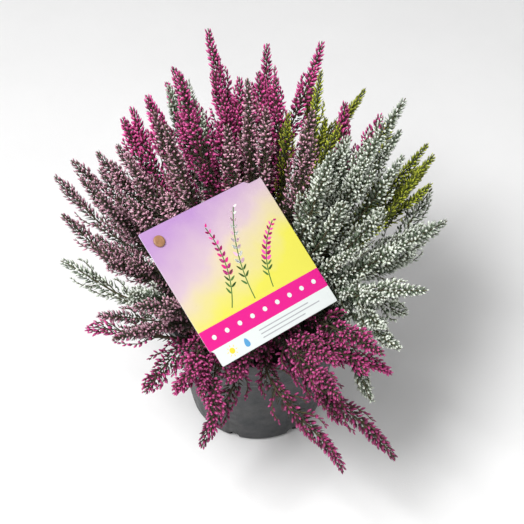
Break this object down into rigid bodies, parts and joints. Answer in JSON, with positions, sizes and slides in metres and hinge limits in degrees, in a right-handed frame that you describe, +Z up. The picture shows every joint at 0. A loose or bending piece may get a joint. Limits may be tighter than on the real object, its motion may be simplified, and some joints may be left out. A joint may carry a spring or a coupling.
{
  "type": "potted heather",
  "caption": "Mixed heather in flower in a round plastic nursery pot, with a square plant label on a stick.",
  "frame": {"origin": "middle of the pot's underside, on the surface that the pot stands on", "axes": "+Z up; the label and the lowest sprays face between +X and -Y, where the picture was taken from"},
  "size_m": [0.2484, 0.2443, 0.2463],
  "materials": {
    "pot": "dark moulded plastic, slightly satin, dusty",
    "soil": "moist peat with crumbs and fibres",
    "label_card": "printed plastic card, satin",
    "label_stick": "brown moulded plastic",
    "heather_magenta": "matt flower buds on dark green shoots",
    "heather_mauve": "matt flower buds on dark green shoots",
    "heather_silver": "matt silver-white buds on grey-green shoots",
    "heather_lime": "matt yellow-green shoots"
  },
  "bodies": {
    "root": {"label_card": "label_card", "label_stick": "label_stick", "lime_spray_01": "heather_lime", "lime_spray_02": "heather_lime", "lime_spray_03": "heather_lime", "lime_spray_04": "heather_lime", "magenta_spray_01": "heather_magenta", "magenta_spray_02": "heather_magenta", "magenta_spray_03": "heather_magenta", "magenta_spray_04": "heather_magenta", "magenta_spray_05": "heather_magenta", "magenta_spray_06": "heather_magenta", "magenta_spray_07": "heather_magenta", "magenta_spray_08": "heather_magenta", "magenta_spray_09": "heather_magenta", "magenta_spray_10": "heather_magenta", "magenta_spray_11": "heather_magenta", "magenta_spray_12": "heather_magenta", "magenta_spray_13": "heather_magenta", "magenta_spray_14": "heather_magenta", "magenta_spray_15": "heather_magenta", "mauve_spray_01": "heather_mauve", "mauve_spray_02": "heather_mauve", "mauve_spray_03": "heather_mauve", "mauve_spray_04": "heather_mauve", "mauve_spray_05": "heather_mauve", "mauve_spray_06": "heather_mauve", "mauve_spray_07": "heather_mauve", "mauve_spray_08": "heather_mauve", "mauve_spray_09": "heather_mauve", "pot": "pot", "silver_spray_01": "heather_silver", "silver_spray_02": "heather_silver", "silver_spray_03": "heather_silver", "silver_spray_04": "heather_silver", "silver_spray_05": "heather_silver", "silver_spray_06": "heather_silver", "silver_spray_07": "heather_silver", "silver_spray_08": "heather_silver", "silver_spray_09": "heather_silver", "silver_spray_10": "heather_silver", "silver_spray_11": "heather_silver", "soil": "soil"}
  },
  "joints": []
}
